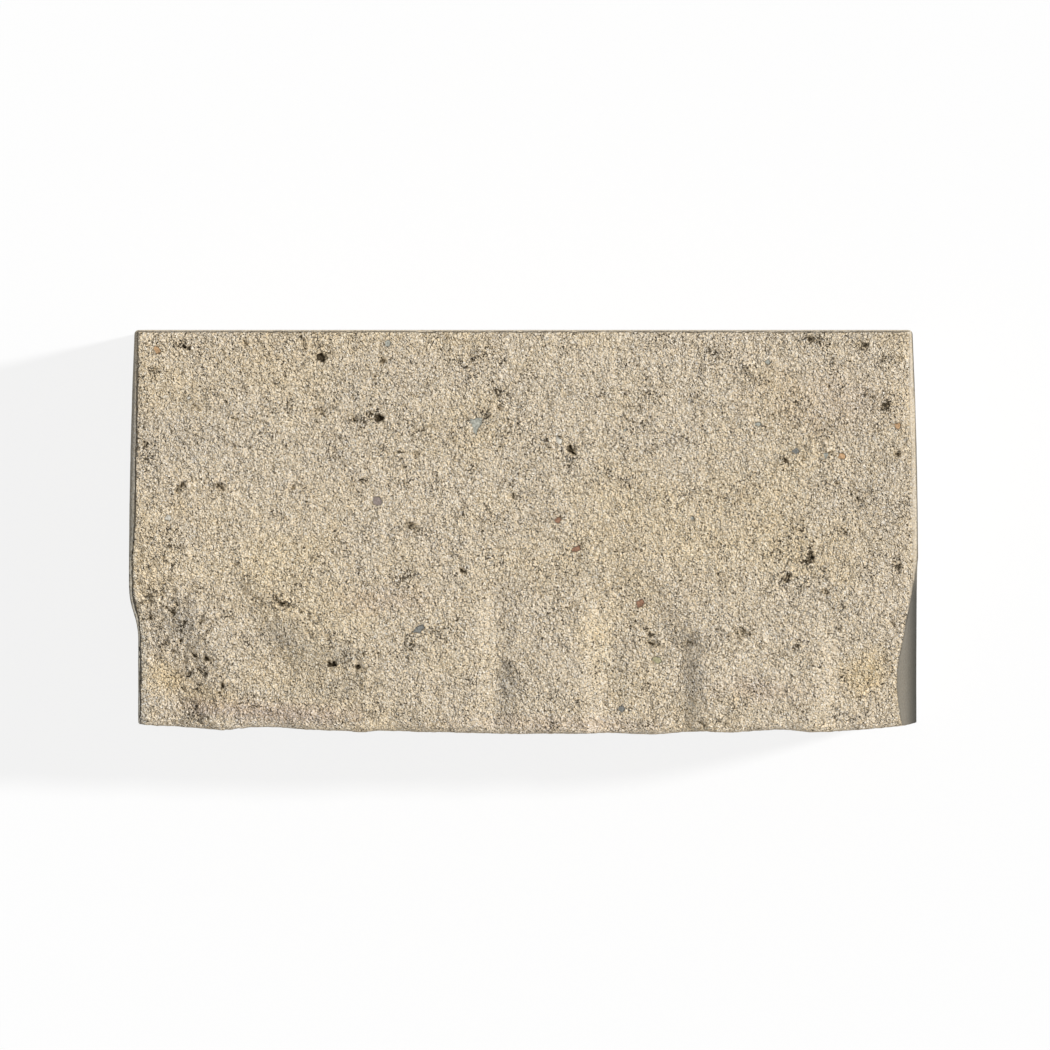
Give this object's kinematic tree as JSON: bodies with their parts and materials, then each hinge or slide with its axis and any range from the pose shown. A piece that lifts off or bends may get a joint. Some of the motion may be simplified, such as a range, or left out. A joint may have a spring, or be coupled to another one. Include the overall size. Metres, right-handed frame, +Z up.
{
  "type": "retaining wall block",
  "caption": "Solid concrete retaining wall block with a rough rock face that rolls over onto the flat top, a straight back and sides that draw in towards it.",
  "frame": {"origin": "middle of the block's box in plan, on its lower bed", "axes": "+X along the wall, +Y towards the straight back, so the rock face looks along -Y, and +Z up"},
  "size_m": [0.4, 0.2055, 0.15],
  "materials": {
    "concrete": "matte"
  },
  "bodies": {
    "root": {"wall_block": "concrete"}
  },
  "joints": []
}
